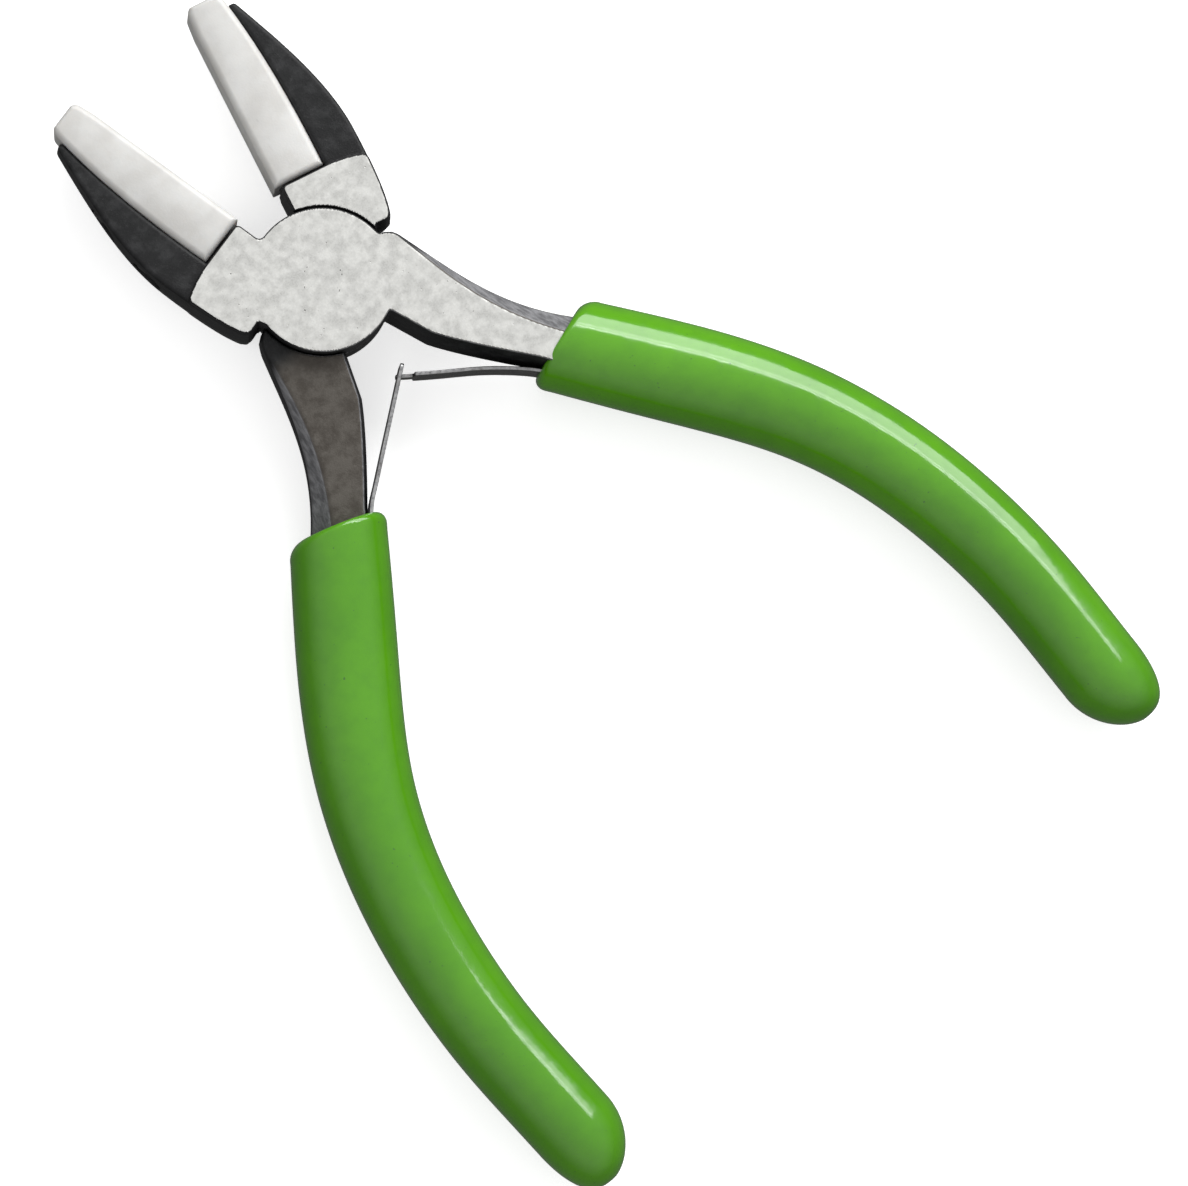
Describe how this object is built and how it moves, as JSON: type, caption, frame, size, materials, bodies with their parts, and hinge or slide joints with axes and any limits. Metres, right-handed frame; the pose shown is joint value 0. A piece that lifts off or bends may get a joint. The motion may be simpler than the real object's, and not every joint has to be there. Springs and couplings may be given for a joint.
{
  "type": "flat nose pliers",
  "caption": "Small spring-opened flat nose pliers with a lap joint, smooth nylon jaw pads and curved dipped vinyl handles.",
  "frame": {"origin": "on the joint's pivot axis, in the joint's ground back face (the back end of the joint rivet)", "axes": "+Z is the pivot axis, pointing out of the joint's front face; +Y points from the joint to the jaw tips, along the centre line between the two halves; +X points to the side of the front half's handle. The rest pose is the pliers as they lie open with the springs relaxed."},
  "size_m": [0.086, 0.1252, 0.011],
  "materials": {
    "forged_steel": "satin ground faces, blackened jaws and dark forged flanks",
    "blackened_steel": "black oxide",
    "spring_steel": "plain cold-rolled strip",
    "nylon": "smooth off-white moulded nylon",
    "green_vinyl": "glossy dipped vinyl"
  },
  "bodies": {
    "back_half": {"back_half_forging": "forged_steel", "back_nylon_pad": "nylon", "back_pad_screw_1": "blackened_steel", "back_pad_screw_2": "blackened_steel", "back_handle_sleeve": "green_vinyl", "back_leaf_spring": "spring_steel", "back_leaf_rivet": "blackened_steel", "joint_rivet": "forged_steel"},
    "front_half": {"front_half_forging": "forged_steel", "front_nylon_pad": "nylon", "front_pad_screw_1": "blackened_steel", "front_pad_screw_2": "blackened_steel", "front_handle_sleeve": "green_vinyl", "front_leaf_spring": "spring_steel", "front_leaf_rivet": "blackened_steel"}
  },
  "joints": [
    {"name": "jaw_pivot", "type": "hinge", "parent": "back_half", "child": "front_half", "pos_m": [0, 0, 0], "axis": [0, 0, 1], "range_deg": [-26.5, 1.5], "stiffness_Nm_per_rad": 0.3, "deforming": ["front_leaf_spring", "back_leaf_spring"]}
  ]
}
